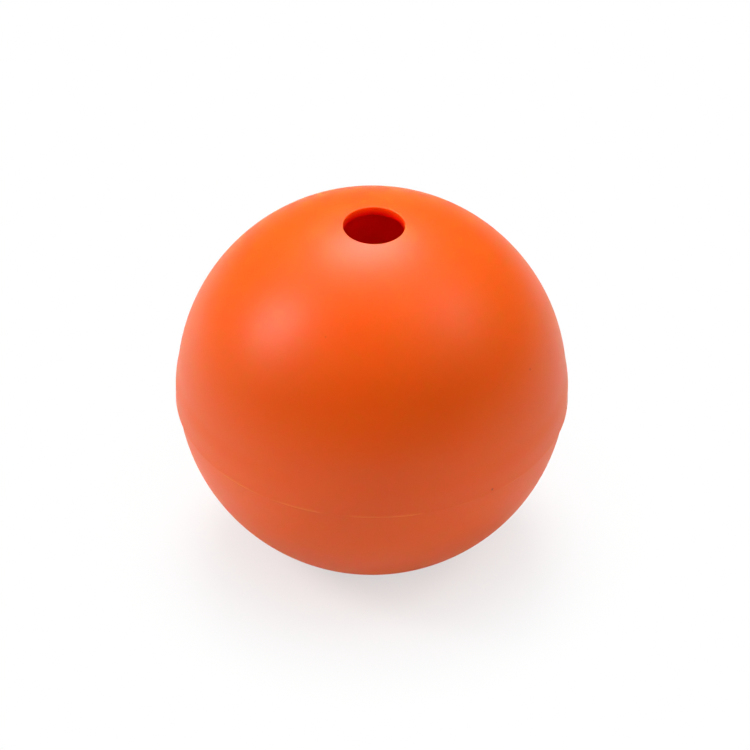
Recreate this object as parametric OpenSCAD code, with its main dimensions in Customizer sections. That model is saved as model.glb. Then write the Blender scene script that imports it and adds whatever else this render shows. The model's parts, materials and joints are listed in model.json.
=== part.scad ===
// Two-piece ice ball mold in soft silicone.
// A base cup with a flat foot carries a domed top with a fill hole.
// The two halves meet in a lap joint: a tongue round the rim of the base
// stands up inside a skirt round the rim of the top.
// Millimetres, +Z up, origin at the middle of the foot.

/* [Ball] */
// Outside diameter of the ball
ball_d = 68; // [58:1:80]
// Wall thickness at the crown, where the fill hole is
crown_wall = 1.7; // [1.2:0.1:2.4]
// Wall thickness at the rim, where the two halves meet
rim_wall = 3; // [2.6:0.1:4]

/* [Foot] */
// Diameter of the flat that the ball stands on
foot_d = 24; // [18:1:28]
// Width of the ring that touches the table
foot_ring_w = 4; // [2:0.5:6]
// Depth of the recess inside that ring
foot_recess = 0.5; // [0.2:0.1:0.8]

/* [Fill hole] */
// Diameter of the fill hole
hole_d = 10.6; // [6:0.2:16]
// Width of the broken edge round the mouth of the hole
hole_edge = 0.2; // [0.1:0.05:0.6]

/* [Lap joint] */
// Depth of the outside seam below the middle of the ball
seam_drop = 2.9; // [2:0.1:5]
// Thickness of the tongue on the base
tongue_wall = 1.3; // [0.9:0.1:1.6]
// Gap between the tongue and the skirt round it
tongue_gap = 0.2; // [0.15:0.05:0.4]
// Gap left at the sealing bead on the tongue
bead_gap = 0.05; // [0.02:0.01:0.1]
// Radius of the sealing bead
bead_r = 0.5; // [0.3:0.1:0.8]
// Gap over the top of the tongue
tongue_top_gap = 0.15; // [0.05:0.05:0.3]
// How far the lip of the skirt stands proud of the ball
lip_proud = 0.25; // [0.1:0.05:0.6]
// Rounding of the edges of the lip and the tongue
edge_r = 0.3; // [0.1:0.05:0.4]

/* [Hidden] */
$fn = 128;

// Overshoot of a cutting shape past the surface that it cuts
spill = 1;
// How much steeper the lip's blend is than the tangent to the ball, in degrees
blend_past_tangent = 1.5;

ball_r = ball_d / 2;
hole_r = hole_d / 2;
foot_r = foot_d / 2;
recess_r = foot_r - foot_ring_w;

// The cavity is a sphere set a little above the middle of the ball,
// so the crown is thin and the foot is thick.
cavity_r = ball_r - rim_wall;
cavity_lift = rim_wall - crown_wall;

// The tongue ends at the widest level of the cavity, so neither half has an undercut.
tongue_r = cavity_r + tongue_wall;
tongue_top = cavity_lift;
skirt_r = tongue_r + tongue_gap;
skirt_top = tongue_top + tongue_top_gap;
bead_proud = tongue_gap - bead_gap;
bead_z = (tongue_top - seam_drop) / 2;

lip_r = ball_r + lip_proud;
blend_slope = tan(acos(ball_r / lip_r) + blend_past_tangent);

// Height of the middle of the ball over the table
middle_h = sqrt(ball_r ^ 2 - foot_r ^ 2);
// Height at which the hole leaves the outside of the ball
hole_mouth = sqrt(ball_r ^ 2 - hole_r ^ 2);

silicone = [0.93, 0.36, 0.11];

// Half-sections lie in the XY plane: X is the distance from the axis,
// and Y is the height over the middle of the ball.

// A slab of the half-section between two heights
module between(low, high) {
    translate([0, low])
        square([lip_r + spill, high - low]);
}

module cavity() {
    translate([0, cavity_lift])
        circle(r = cavity_r);
}

// Cuts a corner round. into points from the corner into the material.
module round_corner(corner, into) {
    translate(corner)
        mirror([into.x < 0 ? 1 : 0, 0])
            mirror([0, into.y < 0 ? 1 : 0])
                difference() {
                    translate([-edge_r, -edge_r])
                        square(2 * edge_r);
                    translate([edge_r, edge_r])
                        circle(r = edge_r);
                }
}

// The proud lip of the skirt, with a shallow cone that runs it into the ball
module lip() {
    blend_h = lip_proud / blend_slope;
    polygon([
        [skirt_r, -seam_drop],
        [lip_r, -seam_drop],
        [lip_r, 0],
        [lip_r - 2 * blend_h * blend_slope, 2 * blend_h],
        [skirt_r, 2 * blend_h],
    ]);
}

// The fill hole with a broken edge at its mouth
module fill_hole() {
    square([hole_r, ball_r + spill]);
    polygon([
        [0, hole_mouth - hole_edge],
        [hole_r, hole_mouth - hole_edge],
        [hole_r + hole_edge + spill, hole_mouth + spill],
        [0, hole_mouth + spill],
    ]);
}

// The room inside the skirt for the tongue
module tongue_room() {
    translate([0, -seam_drop - spill])
        square([skirt_r, skirt_top + seam_drop + spill]);
}

module top_section() {
    difference() {
        union() {
            intersection() {
                circle(r = ball_r);
                between(-seam_drop, ball_r);
            }
            lip();
        }
        cavity();
        tongue_room();
        fill_hole();
        round_corner([lip_r, -seam_drop], [-1, 1]);
        round_corner([skirt_r, -seam_drop], [1, 1]);
    }
}

// The tongue with its sealing bead
module tongue() {
    difference() {
        translate([cavity_r - rim_wall, -seam_drop - rim_wall])
            square([tongue_r - cavity_r + rim_wall, tongue_top + seam_drop + rim_wall]);
        round_corner([tongue_r, tongue_top], [-1, -1]);
    }
    translate([tongue_r + bead_proud - bead_r, bead_z])
        circle(r = bead_r);
}

module base_section() {
    difference() {
        union() {
            intersection() {
                circle(r = ball_r);
                between(-middle_h, -seam_drop);
            }
            tongue();
        }
        cavity();
        translate([0, -middle_h - spill])
            square([recess_r, foot_recess + spill]);
    }
}

module base_cup() {
    color(silicone)
        translate([0, 0, middle_h])
            rotate_extrude()
                base_section();
}

module top_shell() {
    color(silicone)
        translate([0, 0, middle_h])
            rotate_extrude()
                top_section();
}

base_cup();
top_shell();
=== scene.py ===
"""A two-piece ice ball mold in moulded silicone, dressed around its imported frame."""
import json
import math
from types import SimpleNamespace

import bmesh
import bpy
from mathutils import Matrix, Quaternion, Vector, noise


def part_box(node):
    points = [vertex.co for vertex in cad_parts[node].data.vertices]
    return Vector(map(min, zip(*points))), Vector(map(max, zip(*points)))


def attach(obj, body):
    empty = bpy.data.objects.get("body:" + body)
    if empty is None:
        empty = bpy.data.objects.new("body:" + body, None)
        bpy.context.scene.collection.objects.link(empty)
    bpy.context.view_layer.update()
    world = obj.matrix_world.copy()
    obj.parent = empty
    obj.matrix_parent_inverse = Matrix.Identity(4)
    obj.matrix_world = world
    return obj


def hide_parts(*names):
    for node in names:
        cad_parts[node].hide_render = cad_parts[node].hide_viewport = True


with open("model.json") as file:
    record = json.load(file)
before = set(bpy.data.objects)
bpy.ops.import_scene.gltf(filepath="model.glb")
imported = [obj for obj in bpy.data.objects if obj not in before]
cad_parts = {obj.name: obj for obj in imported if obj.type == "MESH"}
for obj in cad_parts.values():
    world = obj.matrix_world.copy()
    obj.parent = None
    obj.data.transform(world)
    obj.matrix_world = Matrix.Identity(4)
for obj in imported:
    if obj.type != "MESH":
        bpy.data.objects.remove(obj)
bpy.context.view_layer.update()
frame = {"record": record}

bl_info = {
    "name": "Ice Ball Mold",
    "version": (1, 0, 0),
    "blender": (4, 5, 0),
    "location": "3D View > Sidebar > Ice Mold",
    "description": "Models a silicone ice ball mold in two halves, with its stage",
    "category": "Add Mesh",
}

MM = 0.001

BASE_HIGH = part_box("base_cup")[1]
TOP_LOW, TOP_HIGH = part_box("top_shell")
MOUNTS = {mount["name"]: mount for mount in frame["record"]["mounts"]}
HOLE_RADIUS = MOUNTS["fill_hole"]["dims"]["r_mm"] * MM

# Edges along the long arcs of the half-sections, and round each of their rounded corners.
BASE_ARC_STEPS = 64
TOP_ARC_STEPS = 110
CAVITY_ARC_STEPS = 90
CORNER_STEPS = 5
# The bead's crest is rounded by this share of half the bead's width.
CREST_SHARE = 0.7
# Points closer together than this are one point.
MERGE_REACH = 0.0001 * MM
# Faces this close to the cavity or the fill hole count as part of it.
SKIN = 0.05 * MM
# Slots of a piece's three finishes.
OUTSIDE, CAVITY, HOLE = range(3)

# Where in the noise the seam starts, which chooses the stretches of the lip that flare and carry the
# painted highlight.
FLARE_START = Vector((18.5, 19.0, 0.0))
# Mean strength of the flare and its painted highlight along the seam, and how strongly the noise makes it
# come and go.
FLARE_MEAN = 0.5
FLARE_SWING = 1.8

# Silicone rubber bends light a little more than water does.
SILICONE_IOR = 1.41
# How far red, green and blue light travel under the skin, as shares of the glow depth.
GLOW_SHARES = (1.0, 0.03, 0.01)
# Values of the clouds' noise at which the roughness reaches its two ends.
CLOUD_LOW = 0.3
CLOUD_HIGH = 0.7
# Where in their pattern the specks start, which chooses where they fall.
SPECK_START = Vector((-14.05, -1.25, -18.4)) * MM
# A cell of the pattern whose random shade is over this holds a speck, which is about one cell in three.
SPECK_SHADE = 0.6

# Each softbox: name, direction from the ball, distance, width and height in metres, power in watts, and
# whether it shows in reflections. The fills only lift the shade.
LAMPS = (
    ("key_softbox", (-0.79, -0.03, 0.61), 0.7, 0.13, 0.28, 0.43, True),
    ("back_softbox", (-0.04, 0.52, 0.85), 0.7, 0.37, 0.14, 0.82, True),
    ("right_softbox", (0.66, 0.02, 0.75), 0.7, 0.22, 0.22, 0.17, True),
    ("front_fill", (0.0, -0.75, 0.66), 1.0, 0.8, 0.8, 0.48, False),
    ("left_fill", (-0.75, -0.3, 0.6), 1.0, 0.8, 0.8, 0.26, False),
    ("right_fill", (0.75, -0.3, 0.6), 1.0, 0.8, 0.8, 0.57, False),
    ("top_fill", (0.0, 0.1, 1.0), 1.0, 0.8, 0.8, 0.33, False),
)
BEAM_ANGLE = math.radians(80)
# Strength of the even light from all round.
WORLD_FILL = 0.01
WHITE = "#FFFFFF"
PAPER_COLOUR = "#E7E7E7"
# Half the side of the floor, in metres.
FLOOR_REACH = 3.0
# Width of the camera's sensor in millimetres, and the nearest and farthest it sees, in metres.
SENSOR_WIDTH = 36.0
CLIP_NEAR = 0.01
CLIP_FAR = 20.0


class MoldSizes(bpy.types.PropertyGroup):
    """Sizes of the two halves that the frame's boxes don't give."""

    foot_radius: bpy.props.FloatProperty(
        name="Foot Radius", description="Outer radius of the ring that the ball stands on",
        default=12 * MM, unit="LENGTH")
    foot_ring: bpy.props.FloatProperty(
        name="Foot Ring", description="Width of the ring that the ball stands on",
        default=4 * MM, unit="LENGTH")
    foot_recess: bpy.props.FloatProperty(
        name="Foot Recess", description="Depth of the recess inside the ring",
        default=0.5 * MM, unit="LENGTH")
    rim_wall: bpy.props.FloatProperty(
        name="Rim Wall", description="Wall where the two halves meet",
        default=3 * MM, unit="LENGTH")
    tongue_wall: bpy.props.FloatProperty(
        name="Tongue", description="Thickness of the tongue on the base",
        default=1.3 * MM, unit="LENGTH")
    tongue_gap: bpy.props.FloatProperty(
        name="Tongue Gap", description="Gap between the tongue and the skirt around it",
        default=0.2 * MM, unit="LENGTH")
    tongue_top_gap: bpy.props.FloatProperty(
        name="Gap Over Tongue", description="Gap between the tongue's top and the skirt's ceiling",
        default=0.15 * MM, unit="LENGTH")
    bead_radius: bpy.props.FloatProperty(
        name="Bead Radius", description="Radius of the sealing bead round the tongue",
        default=0.5 * MM, unit="LENGTH")
    bead_height: bpy.props.FloatProperty(
        name="Bead Height", description="How far the sealing bead stands out of the tongue",
        default=0.15 * MM, unit="LENGTH")
    edge_radius: bpy.props.FloatProperty(
        name="Edge Radius", description="Rounding of the foot, the tongue and the inside of the skirt",
        default=0.3 * MM, unit="LENGTH")
    crisp_radius: bpy.props.FloatProperty(
        name="Crisp Radius", description="Rounding of the edges that the mould leaves crisp",
        default=0.08 * MM, unit="LENGTH")
    mouth_radius: bpy.props.FloatProperty(
        name="Mouth Radius", description="Rounding of the mouth of the fill hole",
        default=0.15 * MM, unit="LENGTH")
    lip_edge: bpy.props.FloatProperty(
        name="Lip Edge", description="Rounding of the lip's lower edge",
        default=0.15 * MM, unit="LENGTH")
    lip_blend: bpy.props.FloatProperty(
        name="Lip Blend", description="Height over which the proud lip runs into the ball",
        default=4 * MM, unit="LENGTH")
    lip_flare: bpy.props.FloatProperty(
        name="Lip Flare", description="How far the lip's soft edge flares out along parts of the seam",
        default=0.05 * MM, unit="LENGTH")
    flare_height: bpy.props.FloatProperty(
        name="Flare Height", description="Height over which the lip's edge flares",
        default=0.6 * MM, unit="LENGTH")
    flare_patch: bpy.props.FloatProperty(
        name="Flare Patch", description="Length of the stretches of the seam that flare",
        default=7 * MM, unit="LENGTH")
    turns: bpy.props.IntProperty(
        name="Turn Steps", description="Steps of a full turn of each half-section",
        default=180, min=32)


class SiliconeLook(bpy.types.PropertyGroup):
    """Finish of the silicone."""

    colour: bpy.props.StringProperty(
        name="Colour", description="Body colour as an sRGB hex value", default="#F55E06")
    # A pale colour painted along the lip's lower edge as a highlight, where the seam's edge catches light.
    edge_highlight_colour: bpy.props.StringProperty(
        name="Highlight Colour", description="Colour of the thin flash on the lip's edge", default="#FF8538")
    # The hole's wall is painted a brighter red at its mouth and a deep red below: a painted red glow of
    # light through the wall, and painted shade down the hole.
    hole_glow_colour: bpy.props.StringProperty(
        name="Hole Colour", description="Colour of the wall of the fill hole at its mouth",
        default="#FE5A05")
    hole_shade_glow_colour: bpy.props.StringProperty(
        name="Hole Deep Colour", description="Colour of the wall of the fill hole next to the cavity",
        default="#FE0A04")
    hole_fade: bpy.props.FloatProperty(
        name="Hole Fade", description="Depth below the mouth at which the hole's wall has its deep colour",
        default=1.3 * MM, unit="LENGTH")
    speck_colour: bpy.props.StringProperty(
        name="Speck Colour", description="Colour of the sparse specks of dust", default="#B0440C")
    roughness: bpy.props.FloatProperty(
        name="Roughness", description="Mean roughness of the satin outside",
        default=0.44, min=0, max=1, subtype="FACTOR")
    roughness_swing: bpy.props.FloatProperty(
        name="Roughness Swing", description="How far the roughness wanders either way",
        default=0.025, min=0, max=1, subtype="FACTOR")
    cavity_roughness: bpy.props.FloatProperty(
        name="Cavity Roughness", description="Mean roughness of the smoother cavity",
        default=0.34, min=0, max=1, subtype="FACTOR")
    glow_depth: bpy.props.FloatProperty(
        name="Glow Depth", description="How far red light travels under the outside",
        default=1.2 * MM, unit="LENGTH")
    cavity_glow_depth: bpy.props.FloatProperty(
        name="Cavity Glow Depth", description="How far red light travels through the wall to the cavity",
        default=7 * MM, unit="LENGTH")
    hole_glow_depth: bpy.props.FloatProperty(
        name="Hole Glow Depth", description="How far red light travels through the wall to the fill hole",
        default=3.5 * MM, unit="LENGTH")
    cloud_colour: bpy.props.StringProperty(
        name="Cloud Colour", description="Colour that the faint clouds lean to", default="#FFB040")
    cloud_tint: bpy.props.FloatProperty(
        name="Cloud Tint", description="How far the clouds lean to their own colour",
        default=0.03, min=0, max=1, subtype="FACTOR")
    cloud_size: bpy.props.FloatProperty(
        name="Cloud Size", description="Size of the paler clouds", default=9 * MM, unit="LENGTH")
    grain_size: bpy.props.FloatProperty(
        name="Grain Size", description="Spacing of the fine grain that the mould leaves",
        default=0.45 * MM, unit="LENGTH")
    grain_height: bpy.props.FloatProperty(
        name="Grain Height", description="Height of the fine grain", default=0.006 * MM, unit="LENGTH")
    speck_spacing: bpy.props.FloatProperty(
        name="Speck Spacing", description="Size of the cells that may hold a speck",
        default=7 * MM, unit="LENGTH")
    speck_size: bpy.props.FloatProperty(
        name="Speck Size", description="Radius of a speck", default=0.32 * MM, unit="LENGTH")


class StageSetup(bpy.types.PropertyGroup):
    """Camera, floor and lamps."""

    photo_side: bpy.props.IntProperty(
        name="Picture Side", description="Side of the square picture, in pixels", default=750)
    ball_pixel: bpy.props.FloatVectorProperty(
        name="Ball Pixel", description="Where the middle of the ball lies in the picture, in pixels",
        size=2, default=(372.0, 380.2))
    ball_pixel_radius: bpy.props.FloatProperty(
        name="Ball Pixel Radius", description="Radius of the ball in the picture, in pixels", default=194.8)
    elevation: bpy.props.FloatProperty(
        name="Elevation", description="Height of the camera over the horizon",
        default=math.radians(38.0), subtype="ANGLE")
    roll: bpy.props.FloatProperty(
        name="Roll", description="Turn of the camera about its own line of sight",
        default=math.radians(0.8), subtype="ANGLE")
    distance: bpy.props.FloatProperty(
        name="Distance", description="Distance from the camera to the middle of the ball",
        default=0.92, unit="LENGTH")
    light_level: bpy.props.FloatProperty(
        name="Light Level", description="Multiplies the power of every softbox", default=1.0, min=0)
    shadow_reach: bpy.props.FloatProperty(
        name="Shadow Reach", description="Distance from the ball's axis at which the floor is all white",
        default=52 * MM, unit="LENGTH")
    contact_white: bpy.props.FloatProperty(
        name="Contact White", description="How much of the floor's white shines through at the foot",
        default=0.6, min=0, max=1, subtype="FACTOR")
    gloss_white: bpy.props.FloatProperty(
        name="Gloss White", description="How much of the white background the silicone's gloss shows",
        default=0.04, min=0, max=1, subtype="FACTOR")


def linear(hex_colour):
    """An sRGB hex value as linear red, green, blue and alpha."""
    colour = []
    for start in (1, 3, 5):
        share = int(hex_colour[start:start + 2], 16) / 255
        colour.append(share / 12.92 if share <= 0.04045 else ((share + 0.055) / 1.055) ** 2.4)
    return colour + [1.0]


def add_node(tree, kind, links=None, inputs=None, **settings):
    """Adds a node with its settings, its socket values and its incoming links."""
    made = tree.nodes.new(kind)
    for name, value in settings.items():
        setattr(made, name, value)
    for name, value in (inputs or {}).items():
        made.inputs[name].default_value = value
    for name, socket in (links or {}).items():
        tree.links.new(socket, made.inputs[name])
    return made


def mold_form(sizes):
    """Radii and heights of both halves, worked out from the frame's boxes and the sizes."""
    form = SimpleNamespace()
    form.seam = TOP_LOW.z
    form.shoulder = BASE_HIGH.x
    form.lip = TOP_HIGH.x
    form.cavity_middle = BASE_HIGH.z
    # The ball passes through the shoulder's edge and the foot's edge, which gives its middle.
    form.middle = (form.shoulder ** 2 + form.seam ** 2 - sizes.foot_radius ** 2) / (2 * form.seam)
    form.ball = math.hypot(sizes.foot_radius, form.middle)
    form.cavity = form.ball - sizes.rim_wall
    form.tongue = form.cavity + sizes.tongue_wall
    form.skirt = form.tongue + sizes.tongue_gap
    form.ceiling = form.cavity_middle + sizes.tongue_top_gap
    form.bead = (form.seam + form.cavity_middle) / 2
    form.recess = sizes.foot_radius - sizes.foot_ring
    form.mouth = form.middle + math.sqrt(form.ball ** 2 - HOLE_RADIUS ** 2)
    return form


class HalfSection:
    """A closed half-section in the XZ plane, drawn corner by corner and arc by arc, then turned."""

    def __init__(self, start):
        self.bm = bmesh.new()
        self.first = self.last = self.bm.verts.new((start[0], 0, start[1]))
        self.rounded = []

    def line_to(self, radius, height, steps=1):
        """Draws a straight stretch of the given number of edges."""
        start = self.last.co.copy()
        end = Vector((radius, 0, height))
        for step in range(1, steps + 1):
            vert = self.bm.verts.new(start.lerp(end, step / steps))
            self.bm.edges.new((self.last, vert))
            self.last = vert

    def arc_to(self, centre_height, angle, steps):
        """Spins the last point about a centre on the axis. A positive angle runs from the pole outwards."""
        made = bmesh.ops.spin(
            self.bm, geom=[self.last], cent=(0, 0, centre_height), axis=(0, 1, 0), angle=angle,
            steps=steps, use_duplicate=False)
        self.last = next(item for item in made["geom_last"] if isinstance(item, bmesh.types.BMVert))

    def round_here(self, radius):
        """Remembers the last point as a corner to round."""
        self.rounded.append((self.last, radius))

    def close(self):
        """Joins the last point to the first, unless both lie on the axis, and rounds the corners."""
        if max(self.first.co.x, self.last.co.x) > 0:
            self.bm.edges.new((self.last, self.first))
        for vert, radius in self.rounded:
            bmesh.ops.bevel(
                self.bm, geom=[vert], offset=radius, offset_type="OFFSET", segments=CORNER_STEPS,
                profile=0.5, affect="VERTICES", material=-1)

    def turn(self, steps):
        """Turns the half-section about Z into a closed solid."""
        bmesh.ops.spin(
            self.bm, geom=self.bm.verts[:] + self.bm.edges[:], cent=(0, 0, 0), axis=(0, 0, 1),
            angle=math.tau, steps=steps, use_merge=True, use_duplicate=False)
        bmesh.ops.remove_doubles(self.bm, verts=self.bm.verts[:], dist=MERGE_REACH)
        bmesh.ops.recalc_face_normals(self.bm, faces=self.bm.faces[:])


def polar_angle(radius, height):
    """Angle from the pole of a point at this radius and height from a centre."""
    return math.atan2(radius, height)


def finish_piece(bm, name, node, body, look, form):
    """Makes the mesh a shown piece that stands for a CAD node and rides on its body."""
    mesh = bpy.data.meshes.new(name)
    cavity_middle = Vector((0, 0, form.cavity_middle))
    for face in bm.faces:
        face.smooth = True
        place = face.calc_center_median()
        in_cavity = (place - cavity_middle).length < form.cavity + SKIN
        in_hole = math.hypot(place.x, place.y) < HOLE_RADIUS + SKIN and place.z > form.cavity_middle
        face.material_index = CAVITY if in_cavity else HOLE if in_hole else OUTSIDE
    bm.to_mesh(mesh)
    bm.free()
    piece = bpy.data.objects.new(name, mesh)
    bpy.context.scene.collection.objects.link(piece)
    mesh.materials.append(silicone_material(
        "moulded_silicone", look, look.colour, look.roughness, look.glow_depth))
    mesh.materials.append(silicone_material(
        "cavity_silicone", look, look.colour, look.cavity_roughness, look.cavity_glow_depth))
    # The fill hole's wall gets its own brighter red, a painted red glow of light through the wall.
    mesh.materials.append(silicone_material(
        "fill_hole_silicone", look, look.hole_glow_colour, look.cavity_roughness, look.hole_glow_depth,
        mouth=form.mouth))
    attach(piece, body)
    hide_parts(node)
    return piece


def silicone_material(name, look, colour, roughness, glow_depth, mouth=None):
    """Moulded silicone rubber: a satin, slightly translucent skin.

    Soft broad highlights, red light that creeps under the surface, faint clouds of pigment, a fine grain
    from the mould and a few specks of dust are what the eye sees of it. With the height of the hole's
    mouth given, the colour deepens below it into painted shade and a painted red glow, and light bleeds
    along the wall. Where the flare share is, a pale painted highlight lies along the lip's edge.
    """
    if name in bpy.data.materials:
        return bpy.data.materials[name]
    material = bpy.data.materials.new(name)
    material.use_nodes = True
    tree = material.node_tree
    tree.nodes.clear()
    place = add_node(tree, "ShaderNodeTexCoord").outputs["Object"]

    clouds = add_node(tree, "ShaderNodeTexNoise", {"Vector": place},
                      {"Scale": 1 / look.cloud_size, "Detail": 3.0, "Roughness": 0.55})
    lean = add_node(tree, "ShaderNodeMath", {0: clouds.outputs["Fac"]}, {1: look.cloud_tint},
                    operation="MULTIPLY")
    tint = add_node(tree, "ShaderNodeMix", {"Factor": lean.outputs["Value"]},
                    {"A": linear(colour), "B": linear(look.cloud_colour)}, data_type="RGBA")
    # Along the lip's lower edge a pale colour is mixed in: a painted highlight where the seam's edge
    # catches light.
    flare_highlight = add_node(tree, "ShaderNodeAttribute", attribute_name="flare_highlight")
    highlighted_edge = add_node(tree, "ShaderNodeMix", {"Factor": flare_highlight.outputs["Fac"], "A": tint.outputs["Result"]},
                     {"B": linear(look.edge_highlight_colour)}, data_type="RGBA")
    # Only the few specks that lie in the surface show, far apart.
    start = add_node(tree, "ShaderNodeMapping", {"Vector": place}, {"Location": SPECK_START})
    cells = add_node(tree, "ShaderNodeTexVoronoi", {"Vector": start.outputs["Vector"]},
                     {"Scale": 1 / look.speck_spacing, "Randomness": 1.0})
    near = add_node(tree, "ShaderNodeMapRange", {"Value": cells.outputs["Distance"]},
                    {"From Min": look.speck_size / look.speck_spacing, "From Max": 0.0})
    chosen = add_node(tree, "ShaderNodeMath", {0: cells.outputs["Color"]}, {1: SPECK_SHADE},
                      operation="GREATER_THAN")
    speck = add_node(tree, "ShaderNodeMath", {0: near.outputs["Result"], 1: chosen.outputs["Value"]},
                     operation="MULTIPLY")
    skin = add_node(tree, "ShaderNodeMix", {"Factor": speck.outputs["Value"], "A": highlighted_edge.outputs["Result"]},
                    {"B": linear(look.speck_colour)}, data_type="RGBA")
    # Down the hole the colour fades to a deep red: painted shade and a painted red glow of light through
    # the wall.
    if mouth is not None:
        height = add_node(tree, "ShaderNodeSeparateXYZ", {"Vector": place})
        depth = add_node(tree, "ShaderNodeMapRange", {"Value": height.outputs["Z"]},
                         {"From Min": mouth, "From Max": mouth - look.hole_fade})
        skin = add_node(tree, "ShaderNodeMix",
                        {"Factor": depth.outputs["Result"], "A": skin.outputs["Result"]},
                        {"B": linear(look.hole_shade_glow_colour)}, data_type="RGBA")
    satin = add_node(tree, "ShaderNodeMapRange", {"Value": clouds.outputs["Fac"]},
                     {"From Min": CLOUD_LOW, "From Max": CLOUD_HIGH,
                      "To Min": roughness - look.roughness_swing,
                      "To Max": roughness + look.roughness_swing})
    # The real grain is finer than a pixel of the picture, so it is drawn just coarse enough to show.
    grain = add_node(tree, "ShaderNodeTexNoise", {"Vector": place},
                     {"Scale": 1 / look.grain_size, "Detail": 2.0, "Roughness": 0.5})
    bump = add_node(tree, "ShaderNodeBump", {"Height": grain.outputs["Fac"]},
                    {"Strength": 1.0, "Distance": look.grain_height})
    shader = add_node(tree, "ShaderNodeBsdfPrincipled", {
        "Base Color": skin.outputs["Result"],
        "Roughness": satin.outputs["Result"],
        "Normal": bump.outputs["Normal"],
    }, {
        "IOR": SILICONE_IOR,
        "Subsurface Weight": 1.0,
        "Subsurface Radius": GLOW_SHARES,
        "Subsurface Scale": glow_depth,
    }, subsurface_method="RANDOM_WALK" if mouth is None else "BURLEY")
    add_node(tree, "ShaderNodeOutputMaterial", {"Surface": shader.outputs["BSDF"]})
    return material


class MOLD_OT_base_cup(bpy.types.Operator):
    """Model the base: a cup with a flat foot and a tongue round its rim."""

    bl_idname = "mold.base_cup"
    bl_label = "Base Cup"

    def execute(self, context):
        sizes = context.scene.mold_sizes
        form = mold_form(sizes)
        section = HalfSection((0, sizes.foot_recess))
        section.line_to(form.recess, sizes.foot_recess, steps=6)
        section.round_here(sizes.crisp_radius)
        section.line_to(form.recess, 0)
        section.round_here(sizes.crisp_radius)
        section.line_to(sizes.foot_radius, 0, steps=4)
        section.round_here(sizes.edge_radius)
        foot = polar_angle(sizes.foot_radius, -form.middle)
        shoulder = polar_angle(form.shoulder, form.seam - form.middle)
        section.arc_to(form.middle, shoulder - foot, BASE_ARC_STEPS)
        section.round_here(sizes.crisp_radius)
        section.line_to(form.tongue, form.seam, steps=3)
        half_bead = math.sqrt(sizes.bead_radius ** 2 - (sizes.bead_radius - sizes.bead_height) ** 2)
        section.line_to(form.tongue, form.bead - half_bead, steps=3)
        section.line_to(form.tongue + sizes.bead_height, form.bead)
        section.round_here(CREST_SHARE * half_bead)
        section.line_to(form.tongue, form.bead + half_bead)
        section.line_to(form.tongue, form.cavity_middle, steps=3)
        section.round_here(sizes.edge_radius)
        section.line_to(form.cavity, form.cavity_middle, steps=2)
        section.round_here(sizes.crisp_radius)
        section.arc_to(form.cavity_middle, math.pi / 2, CAVITY_ARC_STEPS)
        # The arc ends on the axis, but for rounding.
        section.last.co.x = 0
        section.close()
        section.turn(sizes.turns)
        look = context.scene.silicone_look
        finish_piece(section.bm, "base_cup_silicone", "base_cup", "base", look, form)
        return {"FINISHED"}


class MOLD_OT_top_shell(bpy.types.Operator):
    """Model the top: a dome with a fill hole and a skirt round its rim."""

    bl_idname = "mold.top_shell"
    bl_label = "Top Shell"

    def execute(self, context):
        sizes = context.scene.mold_sizes
        form = mold_form(sizes)
        inner_mouth = math.sqrt(form.cavity ** 2 - HOLE_RADIUS ** 2)
        ceiling = form.ceiling - form.cavity_middle
        section = HalfSection((HOLE_RADIUS, form.mouth))
        section.round_here(sizes.mouth_radius)
        start = polar_angle(HOLE_RADIUS, form.mouth - form.middle)
        flare = form.seam + sizes.flare_height - form.middle
        end = polar_angle(math.sqrt(form.ball ** 2 - flare ** 2), flare)
        section.arc_to(form.middle, end - start, TOP_ARC_STEPS)
        self.raise_lip(section, sizes, form)
        section.line_to(form.lip, form.seam, steps=6)
        section.round_here(sizes.lip_edge)
        section.line_to(form.skirt, form.seam, steps=3)
        section.round_here(sizes.edge_radius)
        section.line_to(form.skirt, form.ceiling, steps=4)
        section.line_to(form.cavity, form.ceiling, steps=3)
        section.round_here(sizes.crisp_radius)
        first = polar_angle(form.cavity, ceiling)
        # The ceiling lies a little over the cavity's widest level, where the cavity is narrower.
        section.last.co.x = math.sqrt(form.cavity ** 2 - ceiling ** 2)
        last = polar_angle(HOLE_RADIUS, inner_mouth)
        section.arc_to(form.cavity_middle, last - first, CAVITY_ARC_STEPS)
        section.round_here(sizes.crisp_radius)
        section.close()
        section.turn(sizes.turns)
        self.flare_lip(section.bm, sizes, form)
        look = context.scene.silicone_look
        finish_piece(section.bm, "top_shell_silicone", "top_shell", "top", look, form)
        return {"FINISHED"}

    def raise_lip(self, section, sizes, form):
        """Brings the ball's outline out to the proud lip, which is upright below the ball's middle."""
        for vert in section.bm.verts:
            above = vert.co.z - form.middle
            if above < sizes.lip_blend:
                share = min(1.0, 1 - above / sizes.lip_blend)
                # A smooth step from 0 to 1, level at both ends.
                ease = share * share * (3 - 2 * share)
                vert.co.x += (form.lip - vert.co.x) * ease

    def flare_lip(self, bm, sizes, form):
        """Flares the lip's soft edge out along parts of the seam, and marks the same stretches for a
        painted highlight: a pale colour where the edge catches light.
        """
        flare_highlight = bm.verts.layers.float.new("flare_highlight")
        for vert in bm.verts:
            height = vert.co.z - form.seam
            radius = math.hypot(vert.co.x, vert.co.y)
            if radius > form.shoulder and height < sizes.flare_height:
                around = Vector((vert.co.x, vert.co.y, 0)) / radius
                spot = around * form.lip / sizes.flare_patch + FLARE_START
                patch = FLARE_MEAN + FLARE_SWING * noise.noise(spot)
                share = (1 - height / sizes.flare_height) ** 2
                vert[flare_highlight] = share * min(1.0, max(0.0, patch))
                vert.co += around * sizes.lip_flare * vert[flare_highlight]


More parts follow.
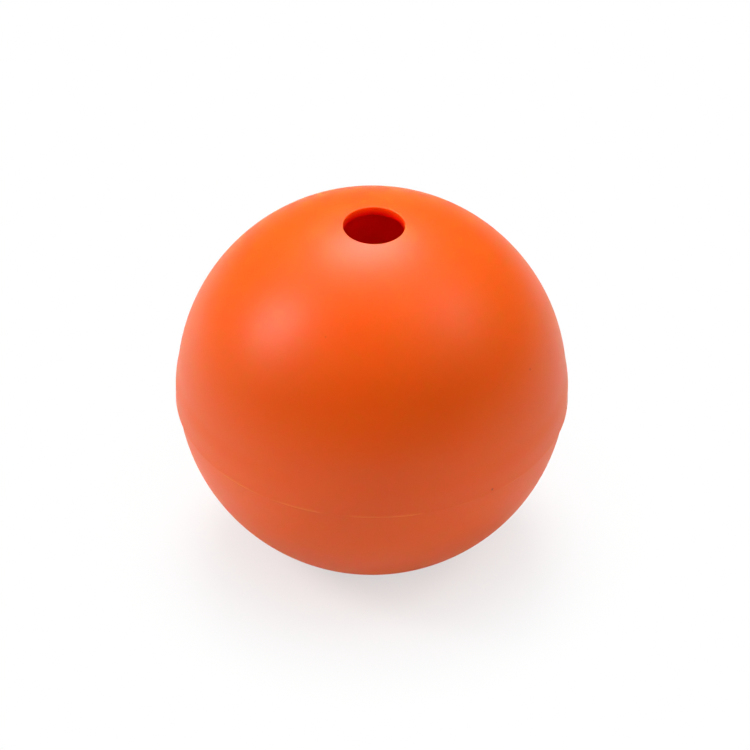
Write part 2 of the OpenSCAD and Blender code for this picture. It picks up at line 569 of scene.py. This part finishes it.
def white_seen(tree, gloss_white):
    """How much of a white background a ray sees: all of it straight on or through, a share in gloss."""
    path = add_node(tree, "ShaderNodeLightPath")
    direct = add_node(tree, "ShaderNodeMath", {
        0: path.outputs["Is Camera Ray"], 1: path.outputs["Is Transmission Ray"]}, operation="MAXIMUM")
    gloss = add_node(tree, "ShaderNodeMath", {0: path.outputs["Is Glossy Ray"]}, {1: gloss_white},
                     operation="MULTIPLY")
    seen = add_node(tree, "ShaderNodeMath", {0: direct.outputs["Value"], 1: gloss.outputs["Value"]},
                    operation="MAXIMUM")
    return seen.outputs["Value"]


class MOLD_OT_stage(bpy.types.Operator):
    """Set up the floor, the lamps, the world and the camera."""

    bl_idname = "mold.stage"
    bl_label = "Stage"

    def execute(self, context):
        setup = context.scene.stage_setup
        form = mold_form(context.scene.mold_sizes)
        middle = Vector((0, 0, form.middle))
        self.floor(context, setup, context.scene.mold_sizes.foot_radius)
        self.world(context, setup)
        for lamp in LAMPS:
            self.softbox(context, middle, setup.light_level, *lamp)
        self.camera(context, setup, middle, form.ball)
        context.scene.view_settings.view_transform = "Standard"
        return {"FINISHED"}

    def softbox(self, context, middle, level, name, direction, distance, width, height, power, in_gloss):
        """A softbox that faces the ball, with a grid that keeps its beam off the far floor."""
        lamp = bpy.data.lights.new(name, "AREA")
        lamp.shape = "RECTANGLE"
        lamp.size = width
        lamp.size_y = height
        lamp.spread = BEAM_ANGLE
        lamp.energy = power * level
        made = bpy.data.objects.new(name, lamp)
        towards = Vector(direction).normalized()
        made.location = middle + towards * distance
        made.rotation_euler = towards.to_track_quat("Z", "Y").to_euler()
        made.visible_camera = False
        made.visible_glossy = in_gloss
        context.scene.collection.objects.link(made)

    def floor(self, context, setup, foot_radius):
        """A wide white floor: white to the eye, with the ball's shadow on it."""
        bm = bmesh.new()
        bmesh.ops.create_grid(bm, x_segments=1, y_segments=1, size=FLOOR_REACH)
        mesh = bpy.data.meshes.new("floor")
        bm.to_mesh(mesh)
        bm.free()
        made = bpy.data.objects.new("floor", mesh)
        context.scene.collection.objects.link(made)
        material = bpy.data.materials.new("white_paper")
        material.use_nodes = True
        tree = material.node_tree
        tree.nodes.clear()
        place = add_node(tree, "ShaderNodeTexCoord").outputs["Object"]
        away = add_node(tree, "ShaderNodeVectorMath", {0: place}, operation="LENGTH")
        # Near the ball part of the white is lit paper, which keeps the shadow. Far off it is all white.
        white_share = add_node(tree, "ShaderNodeMapRange", {"Value": away.outputs["Value"]},
                               {"From Min": foot_radius, "From Max": setup.shadow_reach,
                                "To Min": setup.contact_white, "To Max": 1.0},
                               interpolation_type="SMOOTHSTEP")
        share = add_node(tree, "ShaderNodeMath", {
            0: white_seen(tree, setup.gloss_white), 1: white_share.outputs["Result"]}, operation="MULTIPLY")
        paper = add_node(tree, "ShaderNodeBsdfDiffuse", inputs={"Color": linear(PAPER_COLOUR)})
        white = add_node(tree, "ShaderNodeEmission", inputs={"Strength": 1.0})
        mixed = add_node(tree, "ShaderNodeMixShader", {
            0: share.outputs["Value"], 1: paper.outputs["BSDF"], 2: white.outputs["Emission"]})
        add_node(tree, "ShaderNodeOutputMaterial", {"Surface": mixed.outputs["Shader"]})
        mesh.materials.append(material)

    def world(self, context, setup):
        """Even light from all round, white where the camera sees it."""
        world = bpy.data.worlds.new("studio")
        world.use_nodes = True
        tree = world.node_tree
        tree.nodes.clear()
        fill = add_node(tree, "ShaderNodeBackground",
                        inputs={"Color": linear(WHITE), "Strength": WORLD_FILL})
        white = add_node(tree, "ShaderNodeBackground", inputs={"Color": linear(WHITE), "Strength": 1.0})
        mixed = add_node(tree, "ShaderNodeMixShader", {
            0: white_seen(tree, setup.gloss_white), 1: fill.outputs["Background"],
            2: white.outputs["Background"]})
        add_node(tree, "ShaderNodeOutputWorld", {"Surface": mixed.outputs["Shader"]})
        context.scene.world = world

    def camera(self, context, setup, middle, ball):
        """A long lens that sees the ball where and as large as the picture has it."""
        lens = bpy.data.cameras.new("camera")
        lens.sensor_width = SENSOR_WIDTH
        reach = math.sqrt((setup.distance / ball) ** 2 - 1)
        lens.lens = lens.sensor_width * setup.ball_pixel_radius * reach / setup.photo_side
        made = bpy.data.objects.new("camera", lens)
        context.scene.collection.objects.link(made)
        back = Vector((0, -math.cos(setup.elevation), math.sin(setup.elevation)))
        up = Vector((0, math.sin(setup.elevation), math.cos(setup.elevation)))
        right = Vector((1, 0, 0))
        pixel = ball / setup.ball_pixel_radius
        half = setup.photo_side / 2
        aside = (half - setup.ball_pixel[0]) * pixel
        above = (setup.ball_pixel[1] - half) * pixel
        aim = middle + right * aside + up * above
        made.location = aim + back * setup.distance
        level = back.to_track_quat("Z", "Y")
        made.rotation_euler = (level @ Quaternion((0, 0, 1), setup.roll)).to_euler()
        lens.clip_start = CLIP_NEAR
        lens.clip_end = CLIP_FAR
        context.scene.camera = made


class MOLD_PT_panel(bpy.types.Panel):
    """Lists the pieces and their sizes."""

    bl_idname = "MOLD_PT_panel"
    bl_label = "Ice Ball Mold"
    bl_space_type = "VIEW_3D"
    bl_region_type = "UI"
    bl_category = "Ice Mold"

    def draw(self, context):
        for operator in OPERATORS:
            self.layout.operator(operator.bl_idname)
        for group in (context.scene.mold_sizes, context.scene.silicone_look, context.scene.stage_setup):
            box = self.layout.box()
            for name in group.__annotations__:
                box.prop(group, name)


OPERATORS = (MOLD_OT_base_cup, MOLD_OT_top_shell, MOLD_OT_stage)
CLASSES = (MoldSizes, SiliconeLook, StageSetup, *OPERATORS, MOLD_PT_panel)


def register():
    """Adds the classes and their properties to Blender."""
    for cls in CLASSES:
        bpy.utils.register_class(cls)
    bpy.types.Scene.mold_sizes = bpy.props.PointerProperty(type=MoldSizes)
    bpy.types.Scene.silicone_look = bpy.props.PointerProperty(type=SiliconeLook)
    bpy.types.Scene.stage_setup = bpy.props.PointerProperty(type=StageSetup)


def unregister():
    """Takes the classes and their properties away again."""
    del bpy.types.Scene.stage_setup
    del bpy.types.Scene.silicone_look
    del bpy.types.Scene.mold_sizes
    for cls in reversed(CLASSES):
        bpy.utils.unregister_class(cls)


def main():
    """Makes both halves and their stage."""
    register()
    bpy.ops.mold.base_cup()
    bpy.ops.mold.top_shell()
    bpy.ops.mold.stage()


if __name__ == "__main__":
    main()
